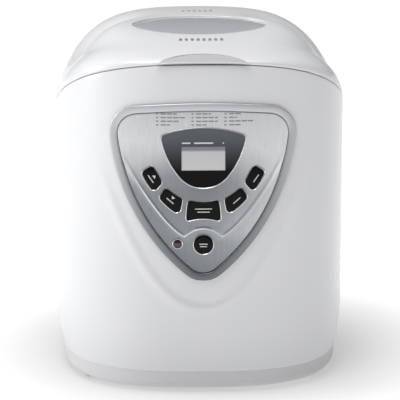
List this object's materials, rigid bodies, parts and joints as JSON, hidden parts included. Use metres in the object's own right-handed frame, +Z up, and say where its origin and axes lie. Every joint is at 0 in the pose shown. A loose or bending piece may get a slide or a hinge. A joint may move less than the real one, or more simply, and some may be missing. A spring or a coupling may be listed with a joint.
{
  "type": "bread machine",
  "caption": "Tall rounded white bread machine with a domed hinged lid, viewing window, shield-shaped control panel, lift-out pan with bail and belt-driven paddle.",
  "frame": {"origin": "centre of the footprint on the table, below the middle of the body", "axes": "+Z up, the control panel faces -Y, +X to the right when the machine is seen from the front"},
  "size_m": [0.27, 0.3272, 0.3242],
  "materials": {
    "white_plastic": "moulded ABS, white, soft gloss",
    "grey_plastic": "moulded ABS, light grey, satin",
    "dark_plastic": "moulded nylon, black, satin",
    "black_keys": "moulded ABS, black, high gloss",
    "silver_panel": "brushed silver film over ABS",
    "smoked_lens": "smoked acrylic, polished",
    "display": "grey liquid crystal display",
    "red_lens": "dark red acrylic lens",
    "window_glass": "grey tempered glass",
    "coated_steel": "dark non-stick coating on sheet metal",
    "aluminium": "rolled aluminium sheet and die castings",
    "steel": "bright zinc plated or stainless steel",
    "brass": "sintered bronze, machined",
    "rubber": "moulded rubber, matt black",
    "circuit_board": "green solder mask on glass epoxy"
  },
  "bodies": {
    "body": {"front_cover": "white_plastic", "rear_cover": "white_plastic", "base_tray": "grey_plastic", "foot_1": "rubber", "foot_2": "rubber", "foot_3": "rubber", "foot_4": "rubber", "base_screw_1": "steel", "base_screw_2": "steel", "base_screw_3": "steel", "base_screw_4": "steel", "top_deck": "white_plastic", "oven_chamber": "coated_steel", "heat_shield": "aluminium", "heating_element": "steel", "element_clip_left": "steel", "element_clip_right": "steel", "temperature_sensor": "steel", "pan_socket": "aluminium", "drive_bearing": "brass", "drive_frame": "steel", "motor_body": "steel", "drive_belt": "rubber", "control_board": "circuit_board", "power_board": "circuit_board", "display_module": "display", "control_bezel": "grey_plastic", "control_fascia": "silver_panel", "display_lens": "smoked_lens", "indicator_lamp": "red_lens", "cord_gland": "dark_plastic", "hinge_pin_left": "steel", "hinge_pin_right": "steel"},
    "lid": {"lid_shell": "white_plastic", "lid_liner": "aluminium", "window_glass": "window_glass", "window_seal": "rubber", "lid_handle": "grey_plastic"},
    "pan": {"bread_pan": "coated_steel", "pan_foot": "aluminium", "shaft_seal": "rubber", "bail_lug_left": "steel", "bail_lug_right": "steel"},
    "bail": {"pan_bail": "steel"},
    "paddle_drive": {"paddle_shaft": "steel", "pan_coupling": "steel"},
    "paddle": {"kneading_paddle": "coated_steel"},
    "drive": {"drive_shaft": "steel", "drive_coupling": "steel", "large_pulley": "dark_plastic"},
    "motor_rotor": {"motor_shaft": "steel", "motor_pulley": "brass"},
    "timer_up_key": {"timer_up_button": "black_keys"},
    "timer_down_key": {"timer_down_button": "black_keys"},
    "dough_size_key": {"dough_size_button": "black_keys"},
    "options_key": {"options_button": "black_keys"},
    "crust_colour_key": {"crust_colour_button": "black_keys"},
    "start_stop_key": {"start_stop_button": "black_keys"}
  },
  "joints": [
    {"name": "lid_hinge", "type": "hinge", "parent": "body", "child": "lid", "pos_m": [0, 0.1586, 0.24325], "axis": [-1, 0, 0], "range_deg": [0, 80]},
    {"name": "pan_lift", "type": "slide", "parent": "body", "child": "pan", "axis": [0, 0, 1], "range_m": [0, 0.035]},
    {"name": "bail_swing", "type": "hinge", "parent": "pan", "child": "bail", "pos_m": [0, 0.0196, 0.206], "axis": [-1, 0, 0], "range_deg": [0, 180]},
    {"name": "drive_spin", "type": "hinge", "parent": "body", "child": "drive", "pos_m": [0, 0.0196, 0.03], "axis": [0, 0, 1], "continuous": true},
    {"name": "motor_spin", "type": "hinge", "parent": "body", "child": "motor_rotor", "pos_m": [0.05, -0.1029, 0.03], "axis": [0, 0, 1], "continuous": true},
    {"name": "paddle_spin", "type": "hinge", "parent": "pan", "child": "paddle_drive", "pos_m": [0, 0.0196, 0.08], "axis": [0, 0, 1], "continuous": true},
    {"name": "paddle_lift", "type": "slide", "parent": "paddle_drive", "child": "paddle", "axis": [0, 0, 1], "range_m": [0, 0.025]},
    {"name": "timer_up_press", "type": "slide", "parent": "body", "child": "timer_up_key", "axis": [0.1659, 0.9856, -0.0339], "range_m": [0, 0.0008], "stiffness_N_per_m": 400},
    {"name": "timer_down_press", "type": "slide", "parent": "body", "child": "timer_down_key", "axis": [0.0724, 0.9972, -0.0207], "range_m": [0, 0.0008], "stiffness_N_per_m": 400},
    {"name": "dough_size_press", "type": "slide", "parent": "body", "child": "dough_size_key", "axis": [0, 0.9999, -0.0132], "range_m": [0, 0.0008], "stiffness_N_per_m": 400},
    {"name": "options_press", "type": "slide", "parent": "body", "child": "options_key", "axis": [-0.0724, 0.9972, -0.0207], "range_m": [0, 0.0008], "stiffness_N_per_m": 400},
    {"name": "crust_colour_press", "type": "slide", "parent": "body", "child": "crust_colour_key", "axis": [-0.1659, 0.9856, -0.0339], "range_m": [0, 0.0008], "stiffness_N_per_m": 400},
    {"name": "start_stop_press", "type": "slide", "parent": "body", "child": "start_stop_key", "axis": [0, 1, 0], "range_m": [0, 0.0008], "stiffness_N_per_m": 400}
  ],
  "couplings": [
    {"joint": "motor_spin", "follows": "drive_spin", "ratio": 4.1111},
    {"joint": "paddle_spin", "follows": "drive_spin", "ratio": 1}
  ]
}
